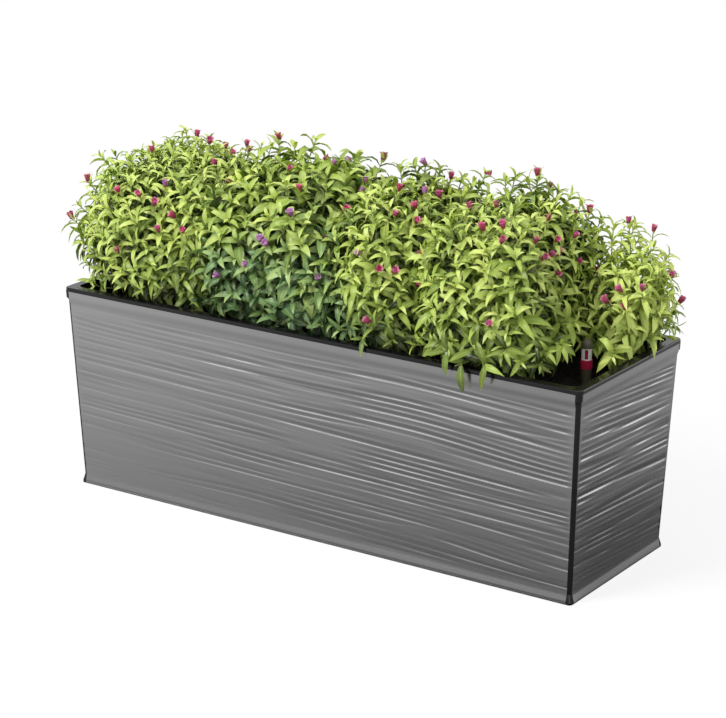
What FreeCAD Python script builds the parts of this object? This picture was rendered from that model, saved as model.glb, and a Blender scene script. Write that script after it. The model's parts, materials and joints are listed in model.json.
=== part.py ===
"""Rectangular planter: a leaning-walled casing with four chiselled decor panels between dark corner posts,
a lift-out liner with a water reservoir and a float gauge, potting soil and a row of five flowering plants.

The origin is on the floor under the middle of the casing. +X runs along the planter's length,
+Y points to its back and +Z points up. All sizes are in millimetres.
"""

import FreeCAD, Part
import math
import os

vec = FreeCAD.Vector
up = vec(0, 0, 1)

# Overall sizes
rim_length = 510.0
rim_width = 169.0
total_height = 180.0
wall_lean = 7.5

# Casing walls, measured inwards from the rim's outer edge
rim_overhang = 1.5
corner_radius = 3.2
panel_thickness = 1.6
casing_wall = 2.2
casing_inner_radius = 2.5
casing_flange = 0.8
lip_depth = 5.5
lip_blend = 2.0
lip_proud = 1.3
skirt_depth = 1.6
skirt_blend = 6.4
skirt_proud = 1.8
panel_foot_gap = 1.0

# Casing underside
foot_height = 3.0
foot_ring_width = 6.0
casing_floor = 2.4
rib_width = 3.0
rib_cells_along = 6
rib_cells_across = 2

# Chiselled relief of the panels
relief_depth = 1.0
relief_margin_top = 11.0
relief_margin_bottom = 4.0
relief_margin_side = 2.0
relief_courses = 20
long_relief_columns = 13
short_relief_columns = 6
relief_ledge_share = 0.24
relief_slant_share = 0.3
relief_base_share = 0.25
relief_stroke_share = 0.5
relief_fine_share = 0.25

# Liner
liner_gap = 0.8
liner_wall = 2.0
liner_lean = 10.0
liner_floor = 2.0
liner_corner_radius = 9.0
liner_lift_gap = 9.0
rim_depth = 2.8
rim_plate = 1.8
rim_skirt_wall = 3.0
rim_corner_radius = 5.0
rim_edge_round = 0.8
rim_edge_steps = 2
overflow_radius = 3.0
overflow_drop = 7.0
overflow_place_share = 0.6

# Separator tray and its wick cups
reservoir_height = 28.0
tray_thickness = 2.0
tray_gap = 0.6
cup_top_half = 15.0
cup_bottom_half = 11.5
cup_wall = 1.6
cup_columns = 3
cup_rows = 2
cup_slot_width = 3.0
cup_slot_height = 12.0
tray_slot_length = 16.0
tray_slot_width = 2.4
tray_slot_columns = 8
tray_slot_rows = 3

# Water gauge
gauge_end_distance = 34.0
gauge_facing_degrees = -61.5
chamber_radius = 12.0
chamber_wall = 1.5
chamber_slot_width = 4.0
chamber_slot_height = 8.0
stem_tube_radius = 4.4
stem_tube_wall = 1.4
collar_radius = 4.9
collar_height = 7.4
sleeve_radius = 4.2
sleeve_wall = 1.5
sleeve_height = 9.6
sleeve_slot_width = 2.7
cap_radius = 4.7
cap_skirt_height = 2.6
cap_dome_steps = 4
cap_sides = 20
gauge_rise_above_rim = 6.0
float_gap = 1.2
float_height = 10.0
float_stop_gap = 0.4
pointer_radius = 1.3

# Soil and roots
soil_drop = 30.0
soil_gap = 0.3
root_ball_height = 70.0
root_ball_taper = 6.0
root_ball_sides = 14
root_ball_share = 0.76

# Where each plant's leaves begin and end along and across the planter, as shares of half the rim's size,
# and how high they reach, as shares of the leaves' full height. The last plant stands behind the gauge.
plant_edge_shares = (-1.03, -0.46, 0.02, 0.38, 0.75, 1.02)
plant_front_shares = (-0.98, -0.98, -0.98, -1.03, 0.2)
plant_back_shares = (1.03, 1.03, 1.0, 0.98, 1.04)
plant_top_shares = (0.98, 1.0, 0.97, 0.98, 0.74)

# Stems and leaves
crown_height = 9.0
crown_bottom_radius = 9.0
crown_top_radius = 6.0
stem_count = 5
stem_sides = 5
stem_bottom_radius = 2.1
stem_top_radius = 1.2
stem_spread_share = 0.55
stem_height = 82.0
foliage_lift = 10.0
foliage_height = 137.0
foliage_gap = 0.6
foliage_wall_gap = 2.0
foliage_rim_gap = 3.0
foliage_foot_share = 0.72
foliage_ring_points = 20
foliage_level_shares = (0.12, 0.3, 0.48, 0.66, 0.82, 0.94, 1.0)
foliage_spread_shares = (0.97, 1.0, 1.0, 0.97, 0.86, 0.63, 0.3)
foliage_bump_share = 0.06
foliage_wave_share = 0.02
foliage_folds = 5
foliage_fold_share = 0.16
foliage_fold_sink_share = 0.05
foliage_fold_twist_share = 0.06
foliage_fold_sharpness = 4
foliage_squareness_share = 0.55
foliage_crowding_share = 0.2

# Flowers
flower_radius = 3.4
flower_throat_radius = 1.2
flower_length = 7.0
flower_sides = 5
facets_per_flower = 11
flower_overlap_limit = 0.001

# One overrun for every cut that has to pass through a face, and how closely points have to meet
overrun = 1.0
point_tolerance = 0.001


def noise(*numbers):
    """A repeatable share from 0 to 1 for any set of whole numbers."""
    mix = sum(math.sin(number * 12.9898 + place * 78.233 + 1) for place, number in enumerate(numbers))
    return (math.sin(mix * 43.758) * 437.585) % 1


def face_half(size, z):
    """Half the distance between two opposite leaning faces of the casing at height z."""
    return size / 2 - rim_overhang - wall_lean * (1 - z / total_height)


def rounded_rectangle(half_x, half_y, radius, z):
    """A closed wire of four lines and four quarter arcs at height z."""
    bend = radius * math.sin(math.radians(45))
    edges = []
    for quarter in range(4):
        turn = quarter * 90
        wide = half_x if quarter % 2 == 0 else half_y
        deep = half_y if quarter % 2 == 0 else half_x
        points = [
            vec(wide, radius - deep, z),
            vec(wide, deep - radius, z),
            vec(wide - radius + bend, deep - radius + bend, z),
            vec(wide - radius, deep, z),
        ]
        for point in points:
            point.x, point.y = turned(point.x, point.y, turn)
        edges.append(Part.LineSegment(points[0], points[1]).toShape())
        edges.append(Part.Arc(points[1], points[2], points[3]).toShape())
    return Part.Wire(edges)


def turned(x, y, degrees):
    """The point x, y turned about the origin."""
    angle = math.radians(degrees)
    return x * math.cos(angle) - y * math.sin(angle), x * math.sin(angle) + y * math.cos(angle)


def true_face(face):
    """The face itself, or a plane inside the same outline where it is a flat spline surface."""
    if not face.Surface.isPlanar(point_tolerance):
        return face
    corners = [vertex.Point for vertex in face.OuterWire.Vertexes]
    plane = Part.Face(Part.Plane(*corners[:3]), face.OuterWire)
    if plane.normalAt(0, 0).dot(face.normalAt(0, 0)) < 0:
        plane.reverse()
    return plane


def loft_of(sections):
    """A solid with straight walls through (half length, half width, corner radius, height) sections."""
    loft = Part.makeLoft([rounded_rectangle(*section) for section in sections], True, True)
    return Part.makeSolid(Part.makeShell([true_face(face) for face in loft.Faces]))


def ringed_solid(rings):
    """A closed solid with flat facets through equal closed rings of points, capped at both ends."""
    count = len(rings[0])
    points = [point for ring in rings for point in ring]
    facets = []
    for level in range(len(rings) - 1):
        for place in range(count):
            following = (place + 1) % count
            low, low_next = level * count + place, level * count + following
            high, high_next = low + count, low_next + count
            facets.append((low, low_next, high_next))
            facets.append((low, high_next, high))
    for level, flip in ((0, True), (len(rings) - 1, False)):
        ring = rings[level]
        middle = sum(ring, vec()) * (1 / count)
        points.append(middle)
        hub = len(points) - 1
        for place in range(count):
            here, following = level * count + place, level * count + (place + 1) % count
            facets.append((hub, following, here) if flip else (hub, here, following))
    shape = Part.Shape()
    shape.makeShapeFromMesh((points, facets), point_tolerance)
    solid = Part.makeSolid(shape)
    if solid.Volume < 0:
        solid.reverse()
    return solid.removeSplitter()


def pillar(radius, foot, head):
    """A round pillar between two points."""
    way = head - foot
    return Part.makeCylinder(radius, way.Length, foot, way)


def faceted_pillar(radius_low, radius_high, foot, head, sides):
    """A tapered pillar with flat sides between two points."""
    way = (head - foot).normalize()
    across = way.cross(vec(1, 0, 0) if abs(way.z) > abs(way.x) else up).normalize()
    along = way.cross(across)
    angles = [2 * math.pi * side / sides for side in range(sides)]
    spokes = [across * math.cos(angle) + along * math.sin(angle) for angle in angles]
    low_ring = [foot + spoke * radius_low for spoke in spokes]
    return ringed_solid([low_ring, [head + spoke * radius_high for spoke in spokes]])


def upright_drill(radius, place, low, high):
    """A round cutter that runs past both faces of what lies between two heights."""
    return pillar(radius, place + up * (low - overrun), place + up * (high + overrun))


def box_between(low, high):
    """An upright box between two opposite corners."""
    size = high - low
    return Part.makeBox(size.x, size.y, size.z, low)


# Heights that several pieces share
casing_top = total_height - rim_depth
panel_top = casing_top - casing_flange
casing_floor_top = foot_height + casing_floor
liner_bottom = casing_floor_top + liner_lift_gap
liner_floor_top = liner_bottom + liner_floor
tray_bottom = liner_floor_top + reservoir_height
tray_top = tray_bottom + tray_thickness
soil_top = total_height - soil_drop
foliage_bottom = soil_top + foliage_lift
foliage_waist = total_height + foliage_rim_gap


def casing_profile():
    """(height, how far the surface stands proud of the leaning face), from the floor up."""
    return [
        (0, skirt_proud),
        (skirt_depth, skirt_proud),
        (skirt_depth + skirt_blend, 0),
        (panel_top - lip_depth - lip_blend, 0),
        (panel_top - lip_depth, lip_proud),
        (casing_top, lip_proud),
    ]


def casing_inside(size, z):
    """Half the clear distance between two opposite inner walls of the casing at height z."""
    return face_half(size, z) - panel_thickness - casing_wall


def liner_outside(size, z):
    """Half the liner's outer size at height z, below its rim."""
    fall = (casing_top - z) / (casing_top - liner_bottom)
    return casing_inside(size, casing_top) - liner_gap - liner_lean * fall


def liner_inside(size, z):
    """Half the clear distance between two opposite inner walls of the liner at height z."""
    return liner_outside(size, z) - liner_wall


def liner_section(z, inset):
    """The liner's outer section at height z, drawn in by the inset."""
    half_x, half_y = liner_outside(rim_length, z), liner_outside(rim_width, z)
    return half_x - inset, half_y - inset, liner_corner_radius - inset, z


def panel_pocket(along, across):
    """The space that one panel takes out of the casing, facing +Y before it is turned to its side."""
    corners = []
    for z in (panel_foot_gap, panel_top):
        reach = face_half(along, z) - corner_radius
        back = face_half(across, z) - panel_thickness
        front = back + panel_thickness + lip_proud + skirt_proud + overrun
        plan = ((-reach, back), (reach, back), (reach, front), (-reach, front))
        corners.append([vec(x, y, z) for x, y in plan])
    return ringed_solid(corners)


def relief_depth_at(course, column, seed):
    """How deep the valley of one chisel course is at one column: long strokes and a finer unevenness."""
    stroke = noise(course, (column + 3 * course) // 3, seed)
    fine = noise(course, column, seed + 5)
    return relief_depth * (relief_base_share + relief_stroke_share * stroke + relief_fine_share * fine)


def relief_rows():
    """(height, proud, course, in the valley) of each row of points, from the foot up, and the pitch."""
    field_bottom = skirt_depth + skirt_blend + relief_margin_bottom
    field_top = panel_top - lip_depth - lip_blend - relief_margin_top
    pitch = (field_top - field_bottom) / relief_courses
    foot, head = casing_profile()[1:3], casing_profile()[3:5]
    rows = [(z, proud, None, False) for z, proud in [(panel_foot_gap, skirt_proud)] + foot]
    for course in range(relief_courses):
        rows.append((field_bottom + course * pitch, 0, course, True))
        rows.append((field_bottom + (course + relief_ledge_share) * pitch, 0, course, False))
    rows += [(z, proud, None, False) for z, proud in [(field_top, 0)] + head + [(panel_top, lip_proud)]]
    return rows, pitch


def panel(along, across, columns, seed):
    """One decor panel facing +Y: plain skirt and lip, with slanting chisel courses in the field between."""
    rows, pitch = relief_rows()
    rings = []
    for z, proud, course, valley in rows:
        front, back = [], []
        margin = relief_margin_side / (face_half(along, z) - corner_radius)
        steps = [2 * column / (columns - 1) - 1 for column in range(columns)]
        shares = [-1] + [step * (1 - margin) for step in steps] + [1]
        for column, share in enumerate(shares):
            carved = course is not None and 1 < column < columns
            depth = relief_depth_at(course, column, seed) if carved and valley else 0
            slant = noise(course, column // 2, seed + 9) - 0.5 if carved and course > 0 else 0
            height = z + relief_slant_share * pitch * slant
            side = face_half(along, height) - corner_radius
            front.append(vec(share * side, face_half(across, height) + proud - depth, height))
            back.append(vec(share * side, face_half(across, height) - panel_thickness, height))
        rings.append(front[::-1] + back)
    return ringed_solid(rings)


def side_turn(shape, degrees):
    """A copy of the shape turned about the planter's upright middle axis."""
    copy = shape.copy()
    copy.rotate(vec(), up, degrees)
    return copy


def make_casing():
    """The dark moulded shell: corner posts, wall behind the panels, floor, foot ring and ribs."""
    outside = [
        (face_half(rim_length, z) + proud, face_half(rim_width, z) + proud, corner_radius, z)
        for z, proud in casing_profile()
    ]
    inside = [
        (casing_inside(rim_length, z), casing_inside(rim_width, z), casing_inner_radius, z)
        for z in (casing_floor_top, casing_top + overrun)
    ]
    shell = loft_of(outside).cut(loft_of(inside))
    pockets = []
    for turn, along, across in ((180, rim_length, rim_width), (0, rim_length, rim_width)):
        pockets.append(side_turn(panel_pocket(along, across), turn))
    for turn, along, across in ((90, rim_width, rim_length), (270, rim_width, rim_length)):
        pockets.append(side_turn(panel_pocket(along, across), turn))
    shell = shell.cut(pockets)
    half_x = face_half(rim_length, 0) - foot_ring_width
    half_y = face_half(rim_width, 0) - foot_ring_width
    cell_x = (2 * half_x - (rib_cells_along - 1) * rib_width) / rib_cells_along
    cell_y = (2 * half_y - (rib_cells_across - 1) * rib_width) / rib_cells_across
    cells = []
    for row in range(rib_cells_across):
        for column in range(rib_cells_along):
            x = -half_x + column * (cell_x + rib_width)
            y = -half_y + row * (cell_y + rib_width)
            cells.append(box_between(vec(x, y, -overrun), vec(x + cell_x, y + cell_y, foot_height)))
    return shell.cut(cells)


def make_panels():
    """The four decor panels by name."""
    return {
        "front_panel": side_turn(panel(rim_length, rim_width, long_relief_columns, 1), 180),
        "back_panel": panel(rim_length, rim_width, long_relief_columns, 2),
        "left_panel": side_turn(panel(rim_width, rim_length, short_relief_columns, 3), 90),
        "right_panel": side_turn(panel(rim_width, rim_length, short_relief_columns, 4), 270),
    }


def rim_section(inset, z):
    """A section of the liner's rim at height z, drawn in from its outer edge by the inset."""
    return rim_length / 2 - inset, rim_width / 2 - inset, rim_corner_radius, z


def make_rim():
    """The liner's flat rim with an eased outer edge, and the groove below it that takes the casing's wall."""
    sections = [rim_section(0, casing_top)]
    for step in range(rim_edge_steps + 1):
        angle = math.pi / 2 * step / rim_edge_steps
        inset = rim_edge_round * (1 - math.cos(angle))
        fall = rim_edge_round * (1 - math.sin(angle))
        sections.append(rim_section(inset, total_height - fall))
    heights = (casing_top - overrun, total_height - rim_plate)
    return loft_of(sections).cut(loft_of([rim_section(rim_skirt_wall, z) for z in heights]))


def make_liner():
    """The lift-out tub whose flat rim rests on the casing, with overflow holes below the tray."""
    tub = loft_of([liner_section(z, 0) for z in (liner_bottom, total_height - rim_plate)])
    hollow = loft_of([liner_section(z, liner_wall) for z in (liner_floor_top, total_height + overrun)])
    body = make_rim().fuse(tub).cut(hollow)
    drills = []
    hole_z = tray_bottom - overflow_drop
    for side in (-1, 1):
        x = side * overflow_place_share * liner_inside(rim_length, hole_z)
        start, end = vec(x, -rim_width, hole_z), vec(x, rim_width, hole_z)
        drills.append(pillar(overflow_radius, start, end))
    return body.cut(drills).removeSplitter()


def gauge_place():
    """The gauge's axis in plan: on the middle line, near the right end of the liner."""
    return vec(liner_inside(rim_length, total_height) - gauge_end_distance, 0, 0)


def cup_places():
    """Where the wick cups stand in plan: columns and rows over the tray, clear of the gauge chamber."""
    left = -liner_inside(rim_length, liner_floor_top) + cup_top_half + tray_gap
    right = gauge_place().x - chamber_radius - cup_top_half - tray_gap
    half_y = liner_inside(rim_width, liner_floor_top)
    places = []
    for column in range(cup_columns):
        x = left + (right - left) * (column + 0.5) / cup_columns
        for row in range(cup_rows):
            places.append(vec(x, half_y * ((2 * row + 1) / cup_rows - 1), 0))
    return places


def square_cup(place, low, inset):
    """A square tapered block of a cup's outer shape, drawn in by the inset, up to the tray's top."""
    rings = []
    for z in (low, tray_top):
        share = (z - liner_floor_top) / (tray_top - liner_floor_top)
        half = cup_bottom_half + (cup_top_half - cup_bottom_half) * share - inset
        corners = ((-half, -half), (half, -half), (half, half), (-half, half))
        rings.append([place + vec(x, y, z) for x, y in corners])
    return ringed_solid(rings)


def cup_filling(place):
    """The hollow of one wick cup, which the wick soil fills."""
    return square_cup(place, liner_floor_top + cup_wall, cup_wall)


def tray_slot_places():
    """Where the tray's drain slots lie in plan: an even grid, without those that would meet a wick cup."""
    end_x = liner_inside(rim_length, tray_bottom) - tray_gap
    half_y = liner_inside(rim_width, tray_bottom)
    reach = vec(cup_top_half + tray_slot_length, cup_top_half + tray_slot_width, 0)
    places = []
    for column in range(tray_slot_columns):
        for row in range(tray_slot_rows):
            x = end_x * ((2 * column + 1) / tray_slot_columns - 1)
            spot = vec(x, half_y * ((2 * row + 1) / tray_slot_rows - 1), 0)
            beside = [spot - cup for cup in cup_places() + [gauge_place()]]
            if all(abs(way.x) > reach.x or abs(way.y) > reach.y for way in beside):
                places.append(spot)
    return places


def make_tray():
    """The separator that holds the soil above the water: a slotted plate on hollow square wick cups."""
    half_x, half_y, radius, low = liner_section(tray_bottom, liner_wall + tray_gap)
    plate = loft_of([(half_x, half_y, radius, z) for z in (tray_bottom, tray_top)])
    cups, cuts = [], []
    for place in cup_places():
        cups.append(square_cup(place, liner_floor_top, 0))
        cuts.append(cup_filling(place))
        corner = vec(cup_top_half, cup_slot_width / 2, 0)
        foot = place + up * (liner_floor_top + cup_wall)
        cuts.append(box_between(foot - corner, foot + corner + up * cup_slot_height))
    for spot in tray_slot_places():
        corner = vec(tray_slot_length / 2, tray_slot_width / 2, 0)
        low, high = up * (tray_bottom - overrun), up * (tray_top + overrun)
        cuts.append(box_between(spot - corner + low, spot + corner + high))
    cuts.append(upright_drill(stem_tube_radius + tray_gap, gauge_place(), tray_bottom, tray_top))
    return plate.fuse(cups).cut(cuts)


def make_wick_soil():
    """The soil packed into the cups, which draws the water up."""
    return Part.makeCompound([cup_filling(place) for place in cup_places()])


def ring_profile(points, centre):
    """A solid of revolution about the upright axis at centre, from (radius, height) points."""
    corners = [centre + vec(radius, 0, z) for radius, z in points]
    face = Part.Face(Part.makePolygon(corners + [corners[0]]))
    return face.revolve(centre, up, 360)


# Heights of the gauge, from its cap down
sleeve_top = total_height + gauge_rise_above_rim
sleeve_bottom = sleeve_top - sleeve_height
collar_bottom = sleeve_bottom - collar_height
chamber_roof = tray_bottom - chamber_wall


def make_gauge_tube():
    """The slotted float chamber on the liner's floor and the tube that rises from it through the soil."""
    bore = stem_tube_radius - stem_tube_wall
    profile = [
        (chamber_radius - chamber_wall, liner_floor_top),
        (chamber_radius, liner_floor_top),
        (chamber_radius, tray_bottom),
        (stem_tube_radius, tray_bottom),
        (stem_tube_radius, collar_bottom),
        (bore, collar_bottom),
        (bore, chamber_roof),
        (chamber_radius - chamber_wall, chamber_roof),
    ]
    tube = ring_profile(profile, gauge_place())
    low = gauge_place() + vec(-chamber_radius - overrun, -chamber_slot_width / 2, liner_floor_top - overrun)
    size = vec(2 * chamber_radius + 2 * overrun, chamber_slot_width, chamber_slot_height + overrun)
    slot = box_between(low, low + size)
    return tube.cut(slot)


def make_gauge_collar():
    """The coloured ring between the tube and the reading sleeve."""
    bore = stem_tube_radius - stem_tube_wall
    profile = [
        (bore, collar_bottom),
        (collar_radius, collar_bottom),
        (collar_radius, sleeve_bottom),
        (bore, sleeve_bottom),
    ]
    return ring_profile(profile, gauge_place())


def make_gauge_sleeve():
    """The white reading sleeve, slotted so that the pointer shows."""
    bore = sleeve_radius - sleeve_wall
    profile = [
        (bore, sleeve_bottom),
        (sleeve_radius, sleeve_bottom),
        (sleeve_radius, sleeve_top),
        (bore, sleeve_top),
    ]
    sleeve = ring_profile(profile, gauge_place())
    half_slot, sill = sleeve_slot_width / 2, sleeve_wall / 2
    slot_high = vec(sleeve_radius + overrun, half_slot, sleeve_top - sill)
    slot = box_between(vec(0, -half_slot, sleeve_bottom + sill), slot_high)
    slot.rotate(vec(), up, gauge_facing_degrees)
    slot.translate(gauge_place())
    return sleeve.cut(slot)


def make_gauge_cap():
    """The domed cap on the sleeve, with flat facets."""
    base = sleeve_top + cap_skirt_height
    profile = [(cap_radius, sleeve_top)]
    for step in range(cap_dome_steps):
        angle = math.pi / 2 * step / cap_dome_steps
        profile.append((cap_radius * math.cos(angle), base + cap_radius * math.sin(angle)))
    turns = [360 * side / cap_sides for side in range(cap_sides)]
    rings = []
    for radius, z in profile:
        rings.append([gauge_place() + vec(*turned(radius, 0, turn), z) for turn in turns])
    return ringed_solid(rings)


def make_gauge_float():
    """The float in its chamber and the pointer that rises into the sleeve, with the reservoir full."""
    top = chamber_roof - float_stop_gap
    low = top - float_height
    rim = chamber_radius - chamber_wall - float_gap
    profile = [
        (0, low),
        (rim, low),
        (rim, top),
        (pointer_radius, top),
        (pointer_radius, sleeve_top - float_stop_gap),
        (0, sleeve_top - float_stop_gap),
    ]
    return ring_profile(profile, gauge_place())


def plant_plan(number):
    """(left, right, front, back) of one plant's leaves in plan, above the rim."""
    return (
        plant_edge_shares[number] * rim_length / 2,
        plant_edge_shares[number + 1] * rim_length / 2,
        plant_front_shares[number] * rim_width / 2,
        plant_back_shares[number] * rim_width / 2,
    )


def plan_inside(number, z, gap):
    """One plant's plan where it is cut back to stay the gap clear of the liner's walls at height z."""
    left, right, front, back = plant_plan(number)
    limit_x = liner_inside(rim_length, z) - gap
    limit_y = liner_inside(rim_width, z) - gap
    return max(left, -limit_x), min(right, limit_x), max(front, -limit_y), min(back, limit_y)


def plant_root(number):
    """Where one plant stands, in plan."""
    left, right, front, back = plan_inside(number, soil_top, 0)
    return vec((left + right) / 2, (front + back) / 2, 0)


def root_ball(number, growth):
    """One plant's root ball, or its pocket in the soil where growth is more than nothing."""
    left, right, front, back = plan_inside(number, soil_top, 0)
    radius = min(right - left, back - front) / 2 * root_ball_share + growth
    foot = plant_root(number) + up * (soil_top - root_ball_height - growth)
    head = plant_root(number) + up * soil_top
    return faceted_pillar(radius - root_ball_taper, radius, foot, head, root_ball_sides)


def make_soil():
    """The potting soil between the tray and the planting level, with a pocket for each root ball."""
    block = loft_of([liner_section(z, liner_wall + soil_gap) for z in (tray_top, soil_top)])
    pockets = [root_ball(number, soil_gap) for number in range(len(plant_top_shares))]
    pockets.append(upright_drill(stem_tube_radius + soil_gap, gauge_place(), tray_top, soil_top))
    return block.cut(pockets)


def has_neighbour(number, way_x):
    """Whether another plant grows against this one on the side that way_x points to."""
    return number > 0 if way_x < 0 else number < len(plant_top_shares) - 1


def cleft_share(number, level, turn):
    """How far a plant's outline folds in at a share of a full turn: 0 on a main shoot, 1 between two."""
    place = foliage_folds * turn + noise(number, foliage_folds) + foliage_fold_twist_share * level
    return math.cos(math.pi * place) ** foliage_fold_sharpness


def foliage_ring(number, level, plan, spread, z):
    """One closed ring of points round a plant's leaves: a rounded box in plan, folded above the waist."""
    left, right, front, back = plan
    middle = vec((left + right) / 2, (front + back) / 2, 0)
    reach_x = (right - left) / 2 - foliage_gap / 2
    reach_y = (back - front) / 2 - foliage_gap / 2
    upper = z > foliage_waist
    ring = []
    for place in range(foliage_ring_points):
        turn = (place + 0.5) / foliage_ring_points
        way_x, way_y = math.cos(2 * math.pi * turn), math.sin(2 * math.pi * turn)
        square = max(abs(way_x), abs(way_y)) ** foliage_squareness_share
        cleft = cleft_share(number, level, turn)
        bump = foliage_bump_share * (2 * noise(level, place, number) - 1)
        lump = 1 + (bump - foliage_fold_share * cleft) * upper
        rise = foliage_wave_share * (2 * noise(place, level, number + 7) - 1)
        wave = (rise - foliage_fold_sink_share * cleft) * upper
        crowding = 1 + foliage_crowding_share * upper * has_neighbour(number, way_x)
        x = max(-reach_x, min(reach_x, reach_x * way_x / square * spread * lump * crowding))
        y = max(-reach_y, min(reach_y, reach_y * way_y / square * spread * lump))
        ring.append(middle + vec(x, y, z + foliage_height * wave))
    return ring


def make_foliage(number):
    """One plant's lumpy mass of leaves: inside the liner up to the rim, then out over it to a round top."""
    foot = plan_inside(number, foliage_bottom, foliage_wall_gap)
    waist = plan_inside(number, foliage_waist, foliage_wall_gap)
    rings = [foliage_ring(number, 0, foot, foliage_foot_share, foliage_bottom)]
    rings.append(foliage_ring(number, 1, waist, 1, foliage_waist))
    top = foliage_bottom + foliage_height * plant_top_shares[number]
    for level, share in enumerate(foliage_level_shares):
        z = foliage_waist + (top - foliage_waist) * share
        rings.append(foliage_ring(number, level + 2, plant_plan(number), foliage_spread_shares[level], z))
    return ringed_solid(rings)


def make_stems(number):
    """The woody crown on one root ball and the stems that fan out of it up into the leaves."""
    root = plant_root(number)
    left, right, front, back = plan_inside(number, soil_top, 0)
    reach = min(right - left, back - front) / 2 * stem_spread_share
    foot, head = root + up * soil_top, root + up * (soil_top + crown_height)
    stems = faceted_pillar(crown_bottom_radius, crown_top_radius, foot, head, 2 * stem_sides)
    for turn in range(stem_count):
        angle = 2 * math.pi * (turn + noise(turn, number) / 2) / stem_count
        way = vec(math.cos(angle), math.sin(angle), 0)
        foot = root + way * (crown_top_radius / 2) + up * (soil_top + crown_height / 2)
        head = root + way * reach + up * (soil_top + stem_height * plant_top_shares[number])
        stems = stems.fuse(faceted_pillar(stem_bottom_radius, stem_top_radius, foot, head, stem_sides))
    return stems.removeSplitter()


def make_flowers(foliage, number):
    """Bell flowers on some facets of one plant's leaf mass, clear of its neighbours' leaves."""
    left, right, front, back = plant_plan(number)
    flowers = []
    last = len(plant_top_shares) - 1
    facets = [face for face in foliage.Faces if face.CenterOfMass.z > foliage_waist]
    for face in facets[::facets_per_flower]:
        foot = face.CenterOfMass
        outward = face.normalAt(0, 0)
        head = foot + outward * flower_length
        roomy = face.Area > math.pi * (2 * flower_throat_radius) ** 2
        clear_left = number == 0 or head.x > left + flower_radius
        clear_right = number == last or head.x < right - flower_radius
        if roomy and clear_left and clear_right and outward.z > 0:
            flower = faceted_pillar(flower_throat_radius, flower_radius, foot, head, flower_sides)
            if flower.common(foliage).Volume < flower_overlap_limit:
                flowers.append(flower)
    return flowers


def main():
    pieces = {"casing": make_casing(), "liner": make_liner(), "separator_tray": make_tray()}
    pieces.update(make_panels())
    pieces["wick_soil"] = make_wick_soil()
    pieces["gauge_tube"] = make_gauge_tube()
    pieces["gauge_collar"] = make_gauge_collar()
    pieces["gauge_sleeve"] = make_gauge_sleeve()
    pieces["gauge_cap"] = make_gauge_cap()
    pieces["gauge_float"] = make_gauge_float()
    pieces["soil"] = make_soil()
    for number in range(len(plant_top_shares)):
        name = str(number + 1)
        foliage = make_foliage(number)
        stems = make_stems(number)
        pieces["root_ball_" + name] = root_ball(number, 0)
        pieces["plant_stems_" + name] = stems
        pieces["plant_leaves_" + name] = foliage.cut(stems)
        pieces["plant_flowers_" + name] = Part.makeCompound(make_flowers(foliage, number))
    os.makedirs("parts", exist_ok=True)
    for name, shape in pieces.items():
        print(name, len(shape.Solids), "solids", round(shape.Volume / 1000, 2), "cm3", shape.isValid())
        shape.exportStep("parts/" + name + ".step")


main()
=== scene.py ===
"""Looks of the rectangular planter: chiselled metallic panels, satin black plastic, dark soil,
a water gauge and a row of small-leaved flowering plants, seen from the front right.

Shapes are in mm until make_mesh turns them into metres; lights and materials are in metres.
+X runs along the planter towards its gauge, +Y to its back, +Z up.
"""

import json
from itertools import product
from math import cos, log, radians, sin, tan

import bpy
import numpy as np
from mathutils import Matrix, Vector
from mathutils.bvhtree import BVHTree


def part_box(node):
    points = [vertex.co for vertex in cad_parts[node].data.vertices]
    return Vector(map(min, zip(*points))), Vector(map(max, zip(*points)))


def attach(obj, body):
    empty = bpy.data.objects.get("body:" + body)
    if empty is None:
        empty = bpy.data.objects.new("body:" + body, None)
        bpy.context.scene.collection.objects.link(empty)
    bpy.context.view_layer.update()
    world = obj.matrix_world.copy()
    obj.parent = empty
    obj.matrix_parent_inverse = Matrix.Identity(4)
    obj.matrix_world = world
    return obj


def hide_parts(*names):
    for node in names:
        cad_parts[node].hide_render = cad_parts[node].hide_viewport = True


# Sizes shared with the CAD part, in mm
RIM_LENGTH = 510.0
RIM_WIDTH = 169.0
TOTAL_HEIGHT = 180.0
WALL_LEAN = 7.5
RIM_OVERHANG = 1.5
CORNER_RADIUS = 3.2
PANEL_THICKNESS = 1.6
PANEL_FOOT = 0.3
PANEL_TOP = 176.4
SKIRT_TOP = 1.6
SKIRT_BLEND = 6.4
SKIRT_PROUD = 1.8
LIP_BOTTOM = 170.9
LIP_BLEND = 6.0
LIP_PROUD = 1.3
SOIL_TOP = 150.0
SOIL_HALF = (243.0, 72.5)
SOIL_CORNER = 16.0
OPENING_HALF = (244.5, 73.8)
GAUGE_X = 212.255

# How far out leaves may reach, in mm
REACH_X = 279.0
REACH_FRONT = -99.0
REACH_BACK = 108.0

# The photo's camera, in pixels and radians, and its place in mm
IMAGE_CENTRE = (363.0, 359.0)
FOCAL_PIXELS = 2540.007
CAMERA_AZIMUTH = 0.5898110
CAMERA_ELEVATION = 0.3083390
CAMERA_ROLL = 0.0030628
CAMERA_PLACE = (1133.333, -1693.654, 787.314)
SENSOR_WIDTH = 36.0
IMAGE_WIDTH = 726.0

# The carved field of the panels, in mm
FIELD_BOTTOM = 11.0
FIELD_TOP = 165.5
FIELD_FADE = 6.5
FIELD_ROWS = 424
TOP_CALM = 0.92
SKIRT_END = SKIRT_TOP + SKIRT_BLEND
LIP_START = LIP_BOTTOM - LIP_BLEND
LIP_MARGIN = 1.5
SIDE_MARGIN = 0.4
SIDE_FADE = 1.6
# Courses of scoops: wandering of their lines, where across it a course is deepest, pitch of the fine ones
COURSE_WAVE = 3.8
DEEPEST_SHARE = 0.36
FINE_PITCH = 3.1
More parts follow.
